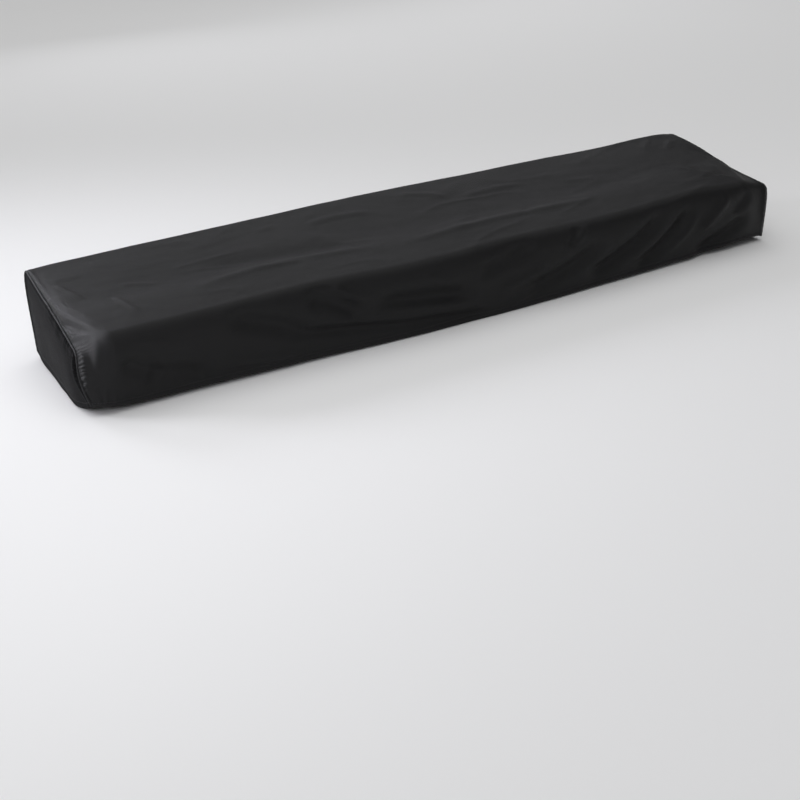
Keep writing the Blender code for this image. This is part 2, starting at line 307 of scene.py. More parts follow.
@functools.lru_cache(maxsize=None)
def ribs_at(x):
    """(back, up) of each rib that has started at this x, from front to back."""
    end = end_of(x)
    knots = []
    for rib in RIBS:
        if rib.side != end.side or (abs(x) <= rib.corner_x and rib.lift):
            continue
        share = share_past(rib.corner_x, x)
        corner_back = -section("edge_out", end.side * rib.corner_x)
        back = corner_back + (rib.seam_back - corner_back) * share**rib.bend
        if rib.bend < 1:
            up = gentle_top(x, back)
        else:
            corner_up = section("edge_up", end.side * rib.corner_x)
            up = corner_up + (SEAM_UP[end.name](rib.seam_back) - corner_up) * share
        fade = smooth((share - RIB_FADE_FROM) / (1 - RIB_FADE_FROM))
        up += rib.lift * share * smooth(share * RIB_RISE) * (1 - fade)
        knots.append((back, up))
    return knots


def top_up(x, back):
    knots = ribs_at(x) if abs(x) > FAN_FROM else []
    if len(knots) < 2:
        return gentle_top(x, back)
    last_back, last_up = knots[-1]
    if back >= last_back:
        settled = smooth((back - last_back) / SETTLE)
        return gentle_top(x, back) + (last_up - gentle_top(x, last_back)) * (1 - settled)
    i = max(k for k in range(len(knots) - 1) if knots[k][0] <= back or k == 0)
    (near_back, near_up), (far_back, far_up) = knots[i], knots[i + 1]
    return near_up + (far_up - near_up) * (back - near_back) / (far_back - near_back)


left_seam = [round(1000 * SEAM_UP["left"](back)) for back in (0.0, 0.1, 0.2)]
print("left seam height, front to back:", left_seam, "mm")

# %% [markdown]
# ## The cloth before its folds
# First the panel is bent like card, with sharp edges. Below the front edge the loose cloth
# swells forward like a shoulder and then hangs straight. Past the corners that shoulder
# goes and the panel swells outwards instead. Then each place becomes the mean of a short
# stretch of itself, which rounds the edges over just that stretch. The stretch is longer
# past the corners, where nothing is under the cloth.

# %% Bare shape of the long panel
STRETCH_STEPS = 4
SHOULDER, SHOULDER_RUN = 0.020, 0.22  # metres, and a share of the front
BACK_SWELL, BACK_SWELL_HIGH = 0.6, 0.6  # share of the front's, and below one it sits high
REAR_ROUND_GROWS = 0.6
ROUND_FADE = 0.020


def sharp(x, w):
    """(x, back, up) of the bent cloth."""
    front = edge_back(x)
    if w < FRONT_FACE:
        down = 1 - w / FRONT_FACE
        hem_back, hem_up = -section("hem_out", x), section("hem_up", x)
        edge_up = top_up(x, front)
        swell = end_of(x).swell * past_corner(x) * math.sin(math.pi * min(down, 1.0))
        held = 1 - smooth(past_corner(x)) * end_of(x).slack
        shoulder = SHOULDER * held * (1 - down) * (1 - math.exp(-max(down, 0.0) / SHOULDER_RUN))
        back = front + (hem_back - front) * down - shoulder
        return x + math.copysign(swell, x), back, edge_up + (hem_up - edge_up) * down
    if w < FRONT_FACE + TOP_FACE:
        back = front + (DEPTH - front) * (w - FRONT_FACE) / TOP_FACE
        return x, back, top_up(x, back)
    down = (w - FRONT_FACE - TOP_FACE) / BACK_FACE
    back_up, hem_up = top_up(x, DEPTH), section("back_hem_up", x)
    wave = math.sin(math.pi * min(down, 1.0) ** BACK_SWELL_HIGH)
    x_out = x + math.copysign(BACK_SWELL * end_of(x).swell * past_corner(x) * wave, x)
    back = DEPTH + section("back_flare", x) * down * down
    return x_out, back, back_up + (hem_up - back_up) * down


ORIGIN_UP = 0.1372  # the origin is on the underside of the top, this high above the hem


def base(x, w):
    """The same with round edges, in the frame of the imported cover."""
    if w < FRONT_FACE + TOP_FACE / 2:
        reach = FRONT_ROUND + (end_of(x).crease_round - FRONT_ROUND) * past_corner(x)
        from_edge = abs(w - FRONT_FACE)
    else:
        reach = REAR_ROUND * (1 + REAR_ROUND_GROWS * past_corner(x))
        from_edge = abs(w - FRONT_FACE - TOP_FACE)
    reach *= 1 - smooth((from_edge - reach) / ROUND_FADE)
    reach = min(reach, max(w, 0.0), max(WRAP - w, 0.0))
    half = STRETCH_STEPS if reach else 0
    stretch = [sharp(x, w + reach * k / STRETCH_STEPS) for k in range(-half, half + 1)]
    x, back, up = (sum(values) / len(stretch) for values in zip(*stretch))
    return Vector((x, back - DEPTH / 2, up - ORIGIN_UP))


print("top at mid-length:", [round(1000 * v) for v in base(0.0, FRONT_FACE + TOP_FACE / 2)], "mm")

# %% [markdown]
# ## Folds of the long panel
# Each fold is a stroke on the cloth, from one place to another, with a bow, a breadth and a
# height. A height above zero makes a ridge, and one below zero a trough. s is the distance
# from the front edge: down the front below zero, over the top above it. On the front the
# folds are broad and soft, since the cloth hangs free there, and slanted, since it is drawn
# towards the corners. Down the back they are shallow and upright. On the top they are thin
# creases from the time when the cover lay folded. A cloth simulation would fold elsewhere;
# strokes listed one by one lie where the photograph shows them.

# %% Table of folds
Fold = namedtuple("Fold", "x0 s0 x1 s1 bow width height")
FOLDS = [Fold(*row) for row in (
    # the front, left half
    (-0.446, -0.022, -0.296, -0.086, 0.008, 0.017, -0.0094),
    (-0.312, -0.02, -0.206, -0.074, 0.01, 0.016, -0.0092),
    (-0.262, -0.006, -0.208, -0.044, 0.0, 0.006, 0.0032),
    (-0.205, -0.054, 0.01, -0.08, 0.006, 0.018, -0.0098),
    (-0.19, -0.064, 0.01, -0.092, 0.0, 0.007, 0.0034),
    (-0.34, -0.074, -0.12, -0.104, 0.0, 0.01, -0.0072),
    (-0.17, -0.098, 0.04, -0.118, 0.0, 0.009, -0.006),
    (-0.47, -0.092, -0.31, -0.112, 0.0, 0.008, 0.003),
    (-0.612, -0.05, -0.546, -0.096, 0.006, 0.017, -0.0066),
    (-0.572, -0.082, -0.47, -0.108, 0.004, 0.015, -0.0056),
    (-0.1, -0.018, -0.04, -0.052, 0.0, 0.009, 0.0024),
    (0.0, -0.05, 0.13, -0.016, 0.004, 0.013, -0.0062),
    (0.04, -0.088, 0.15, -0.06, 0.0, 0.01, 0.003),
    (-0.629, 0.02, -0.636, -0.06, 0.0, 0.005, 0.0012),
    (-0.64, -0.076, -0.642, -0.124, 0.0, 0.003, 0.0016),
    (-0.63, -0.084, -0.6335, -0.124, 0.0, 0.0034, 0.0013),
    (-0.618, -0.092, -0.6215, -0.124, 0.0, 0.004, 0.0009),
    # the front, right half
    (0.09, -0.104, 0.268, -0.036, -0.008, 0.014, -0.008),
    (0.225, -0.104, 0.407, -0.014, -0.012, 0.014, -0.0105),
    (0.335, -0.118, 0.474, -0.018, -0.01, 0.014, -0.0105),
    (0.4, -0.098, 0.48, -0.036, -0.01, 0.01, 0.0036),
    (0.47, -0.124, 0.61, -0.066, -0.008, 0.015, -0.0085),
    (0.48, -0.08, 0.554, -0.01, -0.008, 0.01, 0.0058),
    (0.56, -0.06, 0.6, -0.012, -0.004, 0.012, -0.005),
    (0.188, -0.034, 0.214, -0.004, 0.0, 0.007, -0.003),
    (0.205, -0.034, 0.23, -0.004, 0.0, 0.006, 0.0022),
    # the back
    (-0.52, 0.3, -0.5, 0.42, 0.004, 0.018, -0.0034),
    (-0.33, 0.31, -0.36, 0.425, -0.005, 0.022, 0.003),
    (-0.19, 0.29, -0.15, 0.425, 0.006, 0.02, -0.0038),
    (0.01, 0.3, -0.02, 0.425, 0.004, 0.022, 0.003),
    (0.17, 0.29, 0.215, 0.425, -0.006, 0.018, -0.0036),
    (0.33, 0.3, 0.3, 0.425, 0.005, 0.02, 0.003),
    (0.49, 0.285, 0.54, 0.42, -0.004, 0.016, -0.0034),
    # the top
    (-0.46, 0.078, -0.11, 0.078, 0.012, 0.01, 0.0025),
    (-0.11, 0.07, 0.33, 0.074, 0.006, 0.01, 0.0025),
    (-0.43, 0.138, -0.15, 0.108, 0.0, 0.02, -0.003),
    (-0.205, 0.2, -0.06, 0.194, 0.012, 0.007, 0.002),
    (-0.285, 0.218, -0.24, 0.224, 0.0, 0.005, 0.0012),
    (-0.005, 0.238, 0.085, 0.19, 0.008, 0.007, 0.002),
    (0.1, 0.184, 0.245, 0.186, 0.006, 0.007, 0.0016),
    (-0.638, 0.202, -0.585, 0.206, 0.0, 0.004, 0.0009),
    (-0.634, 0.196, -0.606, 0.124, 0.0, 0.005, 0.001),
    (-0.568, 0.118, -0.552, 0.04, 0.0, 0.005, 0.0013),
    (-0.548, 0.15, -0.486, 0.12, 0.0, 0.005, 0.001),
    (0.52, 0.134, 0.596, 0.02, 0.0, 0.004, 0.0018),
    (0.12, 0.146, 0.04, 0.06, 0.0, 0.016, -0.0014),
    (0.536, 0.212, 0.586, 0.252, 0.0, 0.006, 0.0014),
    (0.572, 0.192, 0.624, 0.23, 0.0, 0.006, 0.0014),
    (0.174, 0.1, 0.157, 0.058, 0.0, 0.006, -0.0014),
)]


FOLD_ENDS = 3  # a fold is nothing beyond this many of its widths
FOLD_TAPER = 4  # it dies out over the first and last quarter of its length


def fold_lift(x, w):
    s = w - FRONT_FACE
    lift = 0.0
    for fold in FOLDS:
        run_x, run_s = fold.x1 - fold.x0, fold.s1 - fold.s0
        length = math.hypot(run_x, run_s)
        share = ((x - fold.x0) * run_x + (s - fold.s0) * run_s) / length**2
        if not 0 < share < 1:
            continue
        across = ((s - fold.s0) * run_x - (x - fold.x0) * run_s) / length
        across -= fold.bow * 4 * share * (1 - share)  # a parabola, highest half way
        if abs(across) < FOLD_ENDS * fold.width:
            taper = smooth(FOLD_TAPER * share) * smooth(FOLD_TAPER * (1 - share))
            lift += fold.height * taper * bump(across, fold.width)
    return lift


highest = max(abs(fold.height) for fold in FOLDS)
print(len(FOLDS), "folds, the highest", round(1000 * highest, 1), "mm")

# %% [markdown]
# ## Hem
# The hem is the cloth turned up twice and stitched, so it is a thicker band with a round
# lower edge and a groove where the thread pulls it in. Turned cloth could be modelled, but
# only its profile shows.

# %% Hem
HEM_EDGE, HEM_STITCH, HEM_BAND = 0.0035, 0.0088, 0.012  # distances from the free edge
BAND_LIFT, BAND_STEP = 0.0006, 0.002
EDGE_LIFT, EDGE_WIDTH = 0.0010, 0.0028
GROOVE_DEPTH, GROOVE_WIDTH = 0.0008, 0.0013


def hem_lift(from_edge):
    band = BAND_LIFT * (1 - smooth((from_edge - HEM_BAND + BAND_STEP) / BAND_STEP))
    edge = EDGE_LIFT * bump(from_edge - HEM_EDGE, EDGE_WIDTH)
    return band + edge - GROOVE_DEPTH * bump(from_edge - HEM_STITCH, GROOVE_WIDTH)


print("hem band:", 1000 * HEM_BAND, "mm, stitched at", 1000 * HEM_STITCH, "mm")

# %% [markdown]
# ## Gathered seams
# Along an end seam the cloth rolls over on both sides, so the piping lies in a narrow
# valley. The thread draws the rolls in, and between the stitches they stand up in round
# lumps with sharp dips. Those are strongest on the lower front, where the cloth hangs
# slack. The table follows the seam from the front hem to the back one: how high the roll
# and the lumps are, how far the lumps spread, and how far the roll stands from the seam.

# %% Gathers along the end seams
Gather = namedtuple("Gather", "w roll amount fringe at")
GATHERS = [Gather(*row) for row in (
    (0.0, 0.0008, 0.0004, 0.2, 0.0052),
    (0.02, 0.0012, 0.0007, 0.2, 0.0052),
    (0.045, 0.0024, 0.0016, 0.08, 0.006),
    (0.068, 0.0036, 0.003, 0.03, 0.0078),
    (0.105, 0.0032, 0.0026, 0.03, 0.0074),
    (0.128, 0.0016, 0.0011, 0.3, 0.0054),
    (0.165, 0.0012, 0.001, 0.5, 0.0052),
    (0.25, 0.0012, 0.001, 0.5, 0.0052),
    (0.3, 0.0014, 0.0004, 0.1, 0.0052),
    (0.385, 0.001, 0.0003, 0.1, 0.0052),
    (0.4, 0.0004, 0.0003, 0.1, 0.0052),
    (WRAP, 0.0008, 0.0003, 0.2, 0.0052),
)]
GATHER = {column: Curve(GATHERS, "w", column) for column in Gather._fields[1:]}
GATHER_REACH = 0.045
ROLL_WIDTH, PLAIN_ROLL_AT = 0.0032, 0.0052  # a roll further from the seam is wider too
LEAN, LEAN_FADE = 24, 0.05  # on the top the puckers lean towards the front
LUMP_RATE = 330  # radians along a metre of seam
WAVER = ((1.1, 61, 0), (0.7, 143, 1))  # strength, rate and start of its changes
SURGE_RATE, SURGE_START, CALM = 83, 0.5, 0.4  # they come in surges, and shrink between them
INNER_AT, INNER_WIDTH, INNER_SHARE = 0.62, 0.38, 0.8
FRINGE_AT, FRINGE_WIDTH = 0.010, 0.009


def lumps(from_seam, w):
    """Round lumps with sharp dips between them, from -1 to 1."""
    lean = LEAN * from_seam * max(w - FRONT_FACE, 0.0)
    along = w + lean * smooth((WRAP / 2 - w) / LEAN_FADE)
    turn = along * LUMP_RATE
    for strength, rate, start in WAVER:
        turn += strength * math.sin(along * rate + start)
    surge = math.sin(w * SURGE_RATE + SURGE_START) ** 2
    return (2 * abs(math.sin(turn)) - 1) * (CALM + (1 - CALM) * surge)


def gather_lift(end, from_seam, w):
    if from_seam > GATHER_REACH:
        return 0.0
    at = GATHER["at"](w)
    rolled = bump(from_seam - at, ROLL_WIDTH * at / PLAIN_ROLL_AT)
    inner = bump(from_seam - INNER_AT * at, INNER_WIDTH * at)
    fringe = GATHER["fringe"](w) * bump(from_seam - FRINGE_AT, FRINGE_WIDTH)
    lump = end.gathered * GATHER["amount"](w) * lumps(from_seam, w)
    return rolled * GATHER["roll"](w) + lump * (INNER_SHARE * inner + fringe)


highest_roll = max(row.roll for row in GATHERS)
print("highest roll beside a seam:", round(1000 * highest_roll, 1), "mm")

# %% [markdown]
# ## Unevenness
# No large cloth lies quite flat. Over the folds goes about a millimetre of slow swells,
# small ripples, and broken creases that show in some patches only and fade towards the
# fans. They come from Perlin noise, which is the same on every run.

# %% Unevenness
SWELL_LIFT, RIPPLE_LIFT, CREASE_LIFT = 0.0010, 0.00035, 0.0011
Cloud = namedtuple("Cloud", "along across shift")  # changes per metre, and a start
SWELLS, RIPPLES, PATCHES = Cloud(9, 14, 0), Cloud(34, 46, 7), Cloud(7, 11, 5)
CREASES, SLANT_X, SLANT_Y, CREASE_SHARP = Cloud(9, 19, 3), 6, 4, 3.0
PATCH_MIDDLE, PATCH_CONTRAST = 0.5, 1.6
CRUMPLED_TO, CRUMPLED_FADE = 0.555, 0.040


def cloudy(place, cloud, stretch=1):
    x = place.x * cloud.along / stretch + cloud.shift
    return noise.noise(Vector((x, place.y * cloud.across, place.z * cloud.across)))


def broken_crease(place, stretch):
    """One along each line where slanted noise passes through zero."""
    x = place.x * CREASES.along / stretch + place.y * SLANT_X + CREASES.shift
    y = place.y * CREASES.across - place.x * SLANT_Y
    there = noise.noise(Vector((x, y, place.z * CREASES.across)))
    return max(1 - CREASE_SHARP * abs(there), 0.0) ** 2


def uneven(place, stretch):
    swell, ripple = cloudy(place, SWELLS, stretch), cloudy(place, RIPPLES, stretch)
    crease = broken_crease(place, stretch)
    crumpled = smooth(PATCH_MIDDLE + PATCH_CONTRAST * cloudy(place, PATCHES))
    crumpled *= 1 - smooth((abs(place.x) - CRUMPLED_TO) / CRUMPLED_FADE)
    return SWELL_LIFT * swell + RIPPLE_LIFT * ripple + CREASE_LIFT * crease * crumpled


print("creases stand up", 1000 * CREASE_LIFT, "mm at the most")

# %% [markdown]
# ## Shader maths
# A pattern in a material is arithmetic on sockets. With the operators of Python on a small
# class, a pattern reads as a formula, and each operation adds its own Math node. Every
# other node comes from one method.

# %% Shader maths


class Value:
    """One number of a material that changes over the surface."""

    def __init__(self, finish, socket):
        self.finish, self.socket = finish, socket

    def math(self, operation, *values):
        return self.finish.node("ShaderNodeMath", {"operation": operation}, *values)

    def __add__(self, other):
        return self.math("ADD", self, other)

    def __mul__(self, other):
        return self.math("MULTIPLY", self, other)

    def sine(self):
        return self.math("SINE", self)

    __radd__ = __add__


class Finish:
    """The nodes of a material, or of the sky, added one call at a time."""

    def __init__(self, owner, shader="Principled BSDF"):
        owner.use_nodes = True
        self.owner, self.tree = owner, owner.node_tree
        self.shader = self.tree.nodes[shader]

    def node(self, kind, settings, *values, out=0, **named):
        """Adds a node: its settings first, then its sockets, and returns one output."""
        node = self.tree.nodes.new(kind)
        for key, value in settings.items():
            setattr(node, key, value)
        for key, value in [*enumerate(values), *named.items()]:
            socket = node.inputs[key if isinstance(key, int) else key.replace("_", " ")]
            if isinstance(value, Value):
                self.tree.links.new(value.socket, socket)
            else:
                socket.default_value = value
        return Value(self, node.outputs[out])

    def mottle(self, places, scale, detail, **named):
        named = {"Vector": places, "Scale": scale, "Detail": detail, **named}
        return self.node("ShaderNodeTexNoise", {}, **named)

    def blend(self, factor, low, high):
        """A colour between two others, each given as red, green and blue."""
        named = {"Factor": factor, "A": (*low, 1.0), "B": (*high, 1.0)}
        return self.node("ShaderNodeMix", {"data_type": "RGBA"}, out="Result", **named)

    def emboss(self, relief):
        """Bends the normals as if the surface rose by relief, in metres."""
        raised = self.node("ShaderNodeBump", {}, Strength=1.0, Distance=1.0, Height=relief)
        self.feed("Normal", raised)

    def feed(self, name, value):
        self.tree.links.new(value.socket, self.shader.inputs[name])

    def fix(self, **constants):
        for name, value in constants.items():
            self.shader.inputs[name.replace("_", " ")].default_value = value


print("shader helpers: Value and Finish")

# %% [markdown]
# ## Black coated polyester
# The cloth is a plain weave with a thin coating on its inner side. From a step away it is a
# soft charcoal with a satin sheen: slightly mottled, with faint streaks along warp and
# weft where threads are thicker. The weave itself is a fraction of a millimetre, so it is
# bump only. Threads are read from the cloth's own UV map, in metres, so they follow the
# cloth around its edges and are the same size on every piece. Mottles and small crumples
# come from the place in space. A scanned cloth would need a picture file and its seams.

# %% Cloth material
THREAD_PITCH = 0.0009
THREAD_FINE, THREAD_LONG = 700.0, 30.0  # changes per metre across a thread and along it
PLAIN, CLOUDS, THREADS, SPECKS = 0.62, 0.36, 0.16, 0.10  # what the tone is made of
WEAVE_RELIEF, CRUMPLE_RELIEF, RIPPLE_RELIEF = 0.00006, 0.00022, 0.00030
TINT = (0.99, 0.98, 1.05)  # black cloth is a little blue


def cloth_finish(name, shade, roughness, gloss):
    """Woven cloth. Shade is the mean brightness of its colour, gloss how much it mirrors."""
    finish = Finish(bpy.data.materials.new(name))
    uv = finish.node("ShaderNodeUVMap", {"uv_map": "cloth"})
    places = finish.node("ShaderNodeTexCoord", {}, out="Object")

    def streaks(along_u, along_v):
        drawn_out = finish.node("ShaderNodeMapping", {}, uv, Scale=(along_u, along_v, 1.0))
        return finish.mottle(drawn_out, 1.0, 2.0)

    warp, weft = streaks(THREAD_FINE, THREAD_LONG), streaks(THREAD_LONG, THREAD_FINE)
    cloud = finish.mottle(places, 11.0, 4.0, Roughness=0.6)
    speck = finish.mottle(places, 160.0, 3.0, Roughness=0.7)
    tone = PLAIN + cloud * CLOUDS + warp * THREADS + weft * THREADS + speck * SPECKS
    twice = [2 * shade * share for share in TINT]
    finish.feed("Base Color", finish.blend(tone * 0.5, (0.0, 0.0, 0.0), twice))
    finish.feed("Roughness", roughness - 0.05 + cloud * 0.08 + speck * 0.03)

    crumple = finish.node(
        "ShaderNodeTexNoise", {"noise_type": "RIDGED_MULTIFRACTAL"}, Vector=places,
        Scale=17.0, Detail=3.0, Roughness=0.5, Distortion=0.6,
    )
    ripple = finish.mottle(places, 60.0, 3.0, Roughness=0.55)
    rate = 2 * math.pi / THREAD_PITCH
    along, across = (finish.node("ShaderNodeSeparateXYZ", {}, uv, out=axis) for axis in "XY")
    weave = (along * rate).sine() * (across * rate).sine()
    finish.emboss(crumple * CRUMPLE_RELIEF + ripple * RIPPLE_RELIEF + weave * WEAVE_RELIEF)
    finish.fix(Specular_IOR_Level=gloss, Sheen_Weight=0.01, Sheen_Roughness=0.4)
    return finish.owner


cover_cloth = cloth_finish("cover_cloth", 0.0070, 0.40, 0.18)
end_cloth = cloth_finish("end_cloth", 0.0075, 0.68, 0.05)
print("cloth nodes:", len(cover_cloth.node_tree.nodes))

# %% [markdown]
# ## Piping and thread
# The piping is a cord wrapped in a bias strip, so its weave runs at a slant and it shows
# small cross wrinkles where it bends. The sewing thread is black too, but smoother than
# the cloth, so that the stitches catch a little light.

# %% Piping and thread materials
BIAS = 0.8  # slant of the strip, in radians
WRINKLE_RELIEF, TWILL_RELIEF = 0.0005, 0.0001


def piping_finish():
    finish = Finish(bpy.data.materials.new("piping_cloth"))
    uv = finish.node("ShaderNodeUVMap", {"uv_map": "cloth"})
    turn = (0.0, 0.0, BIAS)
    slanted = finish.node("ShaderNodeMapping", {}, uv, Rotation=turn, Scale=(500.0, 60.0, 1.0))
    creased = finish.node("ShaderNodeMapping", {}, uv, Scale=(160.0, 12.0, 1.0))
    twill, wrinkle = finish.mottle(slanted, 1.0, 2.0), finish.mottle(creased, 1.0, 3.0)
    dark, light = (0.008, 0.008, 0.0085), (0.015, 0.015, 0.016)
    finish.feed("Base Color", finish.blend(twill, dark, light))
    finish.feed("Roughness", 0.42 + twill * 0.12)
    finish.emboss(wrinkle * WRINKLE_RELIEF + twill * TWILL_RELIEF)
    finish.fix(Specular_IOR_Level=0.20, Sheen_Weight=0.02, Sheen_Roughness=0.4)
    return finish.owner


def thread_finish():
    finish = Finish(bpy.data.materials.new("thread"))
    ply = finish.mottle(finish.node("ShaderNodeTexCoord", {}, out="Object"), 1800.0, 1.0)
    dark, light = (0.012, 0.012, 0.013), (0.026, 0.026, 0.028)
    finish.feed("Base Color", finish.blend(ply, dark, light))
    finish.feed("Roughness", 0.30 + ply * 0.15)
    return finish.owner


piping_cloth, thread = piping_finish(), thread_finish()
print("materials:", ", ".join(m.name for m in (cover_cloth, end_cloth, piping_cloth, thread)))

# %% [markdown]
# ## A piece of cloth from a grid
# Every piece starts as a flat grid, like the cut cloth on the table. Its points keep
# their flat place in a UV map in metres, and a function then carries each one to where it
# hangs. Small lifts go along the normals of that shape. The Solidify modifier then gives
# it the thickness of the cloth, inwards, so that the outer face stays where it is.

# %% Making a cloth grid


def finished_piece(name, bm, material):
    """Turns a bmesh into an object with one material."""
    mesh = bpy.data.meshes.new(name)
    bm.to_mesh(mesh)
    bm.free()
    mesh.shade_smooth()
    mesh.materials.append(material)
    piece = bpy.data.objects.new(name, mesh)
    bpy.context.scene.collection.objects.link(piece)
    return piece


def relax_across(bm, rounds):
    """Smooths the inner points, but leaves them where they are along the cover."""
    inner = [vert for vert in bm.verts if not vert.is_boundary]
    axes = {"use_axis_x": False, "use_axis_y": True, "use_axis_z": True}
    for _ in range(rounds):
        bmesh.ops.smooth_vert(bm, verts=inner, factor=0.5, **axes)
    bm.normal_update()


def cloth_grid(name, steps, flat_of, hang, lift, outward, material, relax=0):
    """flat_of turns grid shares into a flat place, hang a flat place into a point."""
    bm = bmesh.new()
    bmesh.ops.create_grid(bm, x_segments=steps[0], y_segments=steps[1], size=0.5)
    flat = {vert: flat_of(vert.co.x + 0.5, vert.co.y + 0.5) for vert in bm.verts}
    layer = bm.loops.layers.uv.new("cloth")
    for face in bm.faces:
        for loop in face.loops:
            loop[layer].uv = flat[loop.vert]
    for vert in bm.verts:
        vert.co = hang(*flat[vert])
    bmesh.ops.recalc_face_normals(bm, faces=bm.faces[:])
    bm.faces.ensure_lookup_table()
    if bm.faces[len(bm.faces) // 2].normal.dot(outward) < 0:
        bmesh.ops.reverse_faces(bm, faces=bm.faces[:])
    relax_across(bm, relax)
    moves = [(vert, vert.normal * lift(*flat[vert], vert.co)) for vert in bm.verts]
    for vert, move in moves:
        vert.co += move
    piece = finished_piece(name, bm, material)
    wall = piece.modifiers.new("cloth thickness", "SOLIDIFY")
    wall.thickness, wall.offset = CLOTH, -1
    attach(piece, "root")
    return piece


def steps_of(spans):
    return sum(count for _, count in spans)


def spread(start, spans, share):
    """A share of the whole grid as a place along its uneven stretches."""
    step = share * steps_of(spans)
    for stop, count in spans:
        if step <= count:
            return start + (stop - start) * step / count
        start, step = stop, step - count
    return start


print("cloth is", 1000 * CLOTH, "mm thick")

# %% [markdown]
# ## The long panel
# The grid is fine where the cloth does most: at the ends, on the front part of the top and
# on the front. A round of smoothing takes the last hard edges off the fan. The first
# number of each span is where it stops, and the second how many steps it has.

# %% Long panel
COLUMN_SPANS = [(-0.600, 38), (-0.500, 28), (0.550, 192), (LENGTH / 2, 38)]
ROW_SPANS = [
    (0.014, 8), (0.108, 42), (0.142, 15), (0.312, 61),
    (0.386, 12), (0.410, 7), (0.540, 8), (WRAP, 7),
]
SEAM_ALLOWANCE = 0.0006  # the panel stops this short of the seam line
PANEL_REACH = 1 - SEAM_ALLOWANCE / (LENGTH / 2)
FOLDS_FADE = 0.010  # folds die out this near to a seam
LONG_STRETCH = 1.6  # unevenness is longer along the cover than around it


def panel_place(column, row):
    x = spread(-LENGTH / 2, COLUMN_SPANS, column) * PANEL_REACH
    return x, spread(0.0, ROW_SPANS, row)


def panel_lift(x, w, place):
    from_seam = LENGTH / 2 - abs(x)
    free = smooth(from_seam / FOLDS_FADE)
    lift = free * (fold_lift(x, w) + uneven(place, LONG_STRETCH)) + hem_lift(min(w, WRAP - w))
    return lift + gather_lift(end_of(x), from_seam, w)


long_panel = cloth_grid(
    "cover_long_panel", (steps_of(COLUMN_SPANS), steps_of(ROW_SPANS)), panel_place,
    base, panel_lift, Vector((0, 0, 1)), cover_cloth, relax=1,
)
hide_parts("long_panel")
print("long panel:", len(long_panel.data.polygons), "faces before its thickness")

# %% [markdown]
# ## The end seams
# An end panel is sewn to the long panel along three sides. A place of that seam is a place
# on the edge of the long panel, moved into the end panel by half the width of the seam.

# %% End seams
CLOSER = 1.5  # above one, the grid is finer towards the front and the top
REACH = 0.002  # half the stretch that gives the seam its direction
SEAM_INSET = 0.0026
PIPING_INSET = 0.0014


def seam_point(end, w, inset):
    """A point of the end seam, moved into the end panel by inset."""
    x = end.side * LENGTH / 2
    run = base(x, w + REACH) - base(x, w - REACH)
    return base(x, w) + Vector((0, run.z, -run.y)).normalized() * inset


def front_seam(rise):
    return FRONT_FACE * (1 - (1 - rise) ** CLOSER)


def top_seam(share):
    return FRONT_FACE + TOP_FACE * share**CLOSER


def back_seam(rise):
    return WRAP - BACK_FACE * (1 - (1 - rise) ** CLOSER)


corner = seam_point(LEFT, FRONT_FACE, SEAM_INSET)
print("left front corner of the seam:", [round(1000 * v) for v in corner], "mm")

# %% [markdown]
# ## The end panels
# The shape of an end panel follows from its seams alone: the front and back seams are
# joined by straight lines, the top seam and the hem by others, and what the two counts
# share is taken off once. That is a Coons patch, the usual way to fill a frame of four
# curves. The free hem then hangs out a little, and the cloth rolls over at the seam.

# %% End panels
END_STEPS_ALONG, END_STEPS_UP = 168, 88
END_FADE = 0.012  # unevenness dies out this near to a seam
END_STRETCH = 0.6  # unevenness is longer up an end panel than across it


def make_end_panel(end):
    rises = [i / END_STEPS_UP for i in range(END_STEPS_UP + 1)]
    shares = [i / END_STEPS_ALONG for i in range(END_STEPS_ALONG + 1)]
    fronts = [seam_point(end, front_seam(rise), SEAM_INSET) for rise in rises]
    backs = [seam_point(end, back_seam(rise), SEAM_INSET) for rise in rises]
    tops = [seam_point(end, top_seam(share), SEAM_INSET) for share in shares]
    hem_out = Curve(HEM_ROWS, "share", f"{end.name}_out")
    hem_sag = Curve(HEM_ROWS, "share", f"{end.name}_sag")
    depth = (backs[0] - fronts[0]).length
    height = (tops[-1] - backs[0]).length

    def nearest(u, v):
        return round(u / depth * END_STEPS_ALONG), round(v / height * END_STEPS_UP)

    def hang(u, v):
        i, j = nearest(u, v)
        share, rise = shares[i], rises[j]
        hem = fronts[0].lerp(backs[0], share)
        square = hem.lerp(fronts[-1].lerp(backs[-1], share), rise)
        patch = hem.lerp(tops[i], rise) + fronts[j].lerp(backs[j], share) - square
        patch.x += end.side * hem_out(share) * (1 - rise**2)
        patch.z -= hem_sag(share) * (1 - rise) ** 2
        return patch

    def lift(u, v, place):
        i, j = nearest(u, v)
        to_front, to_back = (place - fronts[j]).length, (place - backs[j]).length
        to_top = (place - tops[i]).length
        seam = min(to_front, to_back, to_top)
        if seam == to_front:
            run = front_seam(rises[j])
        else:
            run = back_seam(rises[j]) if seam == to_back else top_seam(shares[i])
        hem = hem_lift((place - hang(u, 0.0)).length)
        free = smooth(seam / END_FADE)
        return gather_lift(end, seam, run) + hem + free * uneven(place, END_STRETCH)

    panel = cloth_grid(
        f"cover_end_panel_{end.name}", (END_STEPS_ALONG, END_STEPS_UP),
        lambda share, rise: (share * depth, rise * height),
        hang, lift, Vector((end.side, 0, 0)), end_cloth,
    )
    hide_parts(f"end_panel_{end.name}")
    return panel


end_panels = {end.name: make_end_panel(end) for end in (LEFT, RIGHT)}
for name, panel in end_panels.items():
    print(name, "end panel:", len(panel.data.polygons), "faces before its thickness")

# %% [markdown]
# ## The piping
# The piping is a cord in a strip of the same cloth, 4 mm thick, which stiffens the seam. A
# ring of points follows the whole seam and is extruded step by step into a tube. A bevelled
# curve would be shorter to write, but this tube swells and shrinks a little between the
# stitches and keeps its flat measures for the weave. Both its ends are closed.

